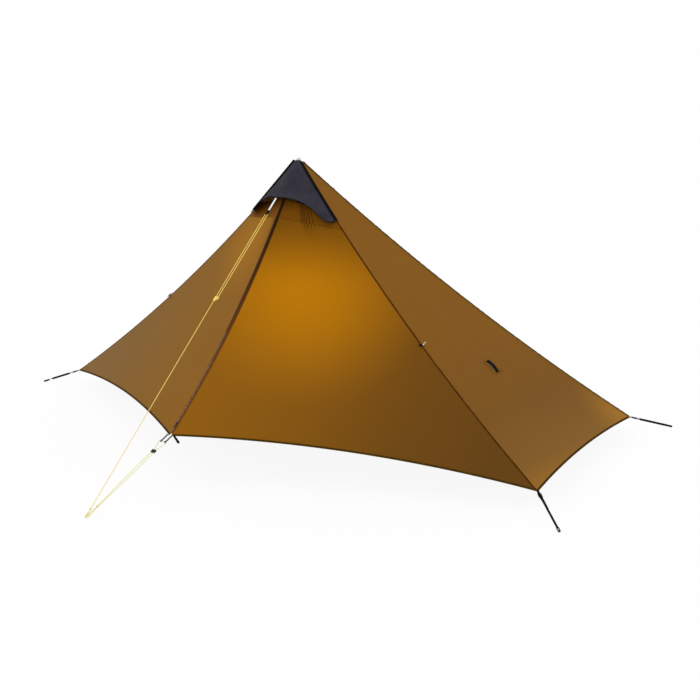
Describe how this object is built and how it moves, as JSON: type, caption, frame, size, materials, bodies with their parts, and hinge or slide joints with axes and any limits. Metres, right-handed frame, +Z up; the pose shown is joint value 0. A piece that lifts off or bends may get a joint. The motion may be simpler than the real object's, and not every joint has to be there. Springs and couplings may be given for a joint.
{
  "type": "ultralight tent",
  "caption": "Ultralight single-pole tent: coated cloth canopy with sagged ridges, hooded vent, zipped front vestibule, telescoping pole, guy lines and corner straps with peg loops.",
  "frame": {"origin": "on the ground under the centre pole, at the middle of the pole foot", "axes": "+Z up; +X along the tent to the end on the right of the picture; -Y to the front, where the zip and the vestibule are"},
  "size_m": [3.0338, 2.3569, 1.25],
  "materials": {
    "canopy_cloth": "thin coated ripstop nylon, satin",
    "hood_cloth": "thicker coated cloth, dull satin",
    "binding_tape": "woven grosgrain, matt",
    "zip_nylon": "woven tape and coil, matt",
    "dark_metal": "die cast, black lacquer",
    "pole_tube": "wound carbon tube, clear resin",
    "pale_plastic": "moulded nylon, satin",
    "black_plastic": "moulded acetal, satin",
    "black_webbing": "flat woven webbing, matt",
    "grey_webbing": "flat woven webbing, matt",
    "yellow_cord": "braided cord, matt",
    "yellow_plastic": "moulded nylon, satin"
  },
  "bodies": {
    "root": {"left_end_panel": "canopy_cloth", "right_end_panel": "canopy_cloth", "rear_panel": "canopy_cloth", "left_end_hem_binding": "binding_tape", "right_end_hem_binding": "binding_tape", "rear_hem_binding": "binding_tape", "left_front_ridge_tape": "binding_tape", "right_front_ridge_tape": "binding_tape", "left_rear_ridge_tape": "binding_tape", "right_rear_ridge_tape": "binding_tape", "vent_sill": "canopy_cloth", "vent_hood": "hood_cloth", "hood_piping": "binding_tape", "peak_grommet": "dark_metal", "pole_tip": "pale_plastic", "pole_upper_tube": "pole_tube", "pole_clamp": "black_plastic", "guy_strap": "black_webbing", "guy_cord": "yellow_cord", "guy_return_cord": "yellow_cord", "left_guy_out_loop": "black_webbing", "right_guy_out_loop": "black_webbing", "left_toggle_loop": "binding_tape", "right_toggle_loop": "binding_tape", "left_front_corner_tab": "black_webbing", "left_front_ladder_lock": "black_plastic", "left_front_peg_strap": "black_webbing", "right_front_corner_tab": "black_webbing", "right_front_ladder_lock": "black_plastic", "right_front_peg_strap": "black_webbing", "right_rear_corner_tab": "black_webbing", "right_rear_ladder_lock": "black_plastic", "right_rear_peg_strap": "black_webbing", "left_rear_corner_tab": "black_webbing", "left_rear_ladder_lock": "black_plastic", "left_rear_peg_strap": "black_webbing"},
    "left_door": {"left_door_panel": "canopy_cloth", "left_door_hem_binding": "binding_tape", "left_zip_tape": "zip_nylon", "left_door_eye_tab": "grey_webbing"},
    "right_door": {"right_door_panel": "canopy_cloth", "right_door_hem_binding": "binding_tape", "right_zip_tape": "zip_nylon", "right_door_hook": "dark_metal", "right_door_tie_tab": "black_webbing"},
    "zip_slider": {"zip_slider": "dark_metal"},
    "zip_pull": {"zip_pull": "dark_metal"},
    "pole_lower": {"pole_lower_tube": "pole_tube", "pole_foot": "black_plastic"},
    "pole_lever": {"pole_lever": "dark_metal"},
    "guy_tensioner": {"guy_tensioner": "yellow_plastic"},
    "front_line": {"front_ring_cord": "yellow_cord", "front_line_lok": "black_plastic", "front_cord": "yellow_cord"},
    "left_toggle": {"left_toggle": "pale_plastic"},
    "right_toggle": {"right_toggle": "pale_plastic"},
    "left_front_peg_loop": {"left_front_peg_loop": "black_webbing"},
    "right_front_peg_loop": {"right_front_peg_loop": "black_webbing"},
    "right_rear_peg_loop": {"right_rear_peg_loop": "black_webbing"},
    "left_rear_peg_loop": {"left_rear_peg_loop": "black_webbing"}
  },
  "joints": [
    {"name": "left_door_swing", "type": "hinge", "parent": "root", "child": "left_door", "pos_m": [-0.2699, -0.0374, 0.96819], "axis": [-0.7637, -0.1058, -0.6368], "range_deg": [0, 160]},
    {"name": "right_door_swing", "type": "hinge", "parent": "root", "child": "right_door", "pos_m": [0.2699, -0.0374, 0.96819], "axis": [-0.7637, 0.1058, 0.6368], "range_deg": [0, 160]},
    {"name": "zip_slider_travel", "type": "hinge", "parent": "right_door", "child": "zip_slider", "pos_m": [0, -3.90324, 3.52742], "axis": [1, 0, 0], "range_deg": [0, 12.3]},
    {"name": "zip_pull_swing", "type": "hinge", "parent": "zip_slider", "child": "zip_pull", "pos_m": [0, -0.79961, 0.25041], "axis": [-1, 0, 0], "range_deg": [0, 150]},
    {"name": "pole_telescope", "type": "slide", "parent": "root", "child": "pole_lower", "axis": [0, 0, 1], "range_m": [0, 0.4]},
    {"name": "pole_lever_turn", "type": "hinge", "parent": "root", "child": "pole_lever", "pos_m": [-0.00889, -0.0127, 0.627], "axis": [0, 0, -1], "range_deg": [0, 110]},
    {"name": "guy_tensioner_slide", "type": "slide", "parent": "root", "child": "guy_tensioner", "axis": [0, 0.7258, 0.6879], "range_m": [0, 0.18], "deforming": ["guy_return_cord"]},
    {"name": "front_line_drop", "type": "hinge", "parent": "root", "child": "front_line", "pos_m": [0, -1.2977, 0.00326], "axis": [-1, 0, 0], "range_deg": [0, 22]},
    {"name": "left_toggle_swing", "type": "hinge", "parent": "root", "child": "left_toggle", "pos_m": [-0.73552, -0.09234, 0.55221], "axis": [-0.6374, -0.0883, 0.7654], "range_deg": [0, 90]},
    {"name": "right_toggle_swing", "type": "hinge", "parent": "root", "child": "right_toggle", "pos_m": [0.73552, -0.09234, 0.55221], "axis": [0.6374, -0.0883, 0.7654], "range_deg": [0, 90]},
    {"name": "left_front_strap_adjust", "type": "slide", "parent": "root", "child": "left_front_peg_loop", "axis": [0.8724, 0.3437, 0.3475], "range_m": [0, 0.1], "deforming": ["left_front_peg_strap"]},
    {"name": "right_front_strap_adjust", "type": "slide", "parent": "root", "child": "right_front_peg_loop", "axis": [-0.7393, 0.5818, 0.3391], "range_m": [0, 0.1], "deforming": ["right_front_peg_strap"]},
    {"name": "right_rear_strap_adjust", "type": "slide", "parent": "root", "child": "right_rear_peg_loop", "axis": [-0.4898, -0.8152, 0.309], "range_m": [0, 0.1], "deforming": ["right_rear_peg_strap"]},
    {"name": "left_rear_strap_adjust", "type": "slide", "parent": "root", "child": "left_rear_peg_loop", "axis": [0.5366, -0.7837, 0.3127], "range_m": [0, 0.1], "deforming": ["left_rear_peg_strap"]}
  ],
  "couplings": [
    {"joint": "front_line_drop", "follows": "left_door_swing", "ratio": 0.1375}
  ]
}
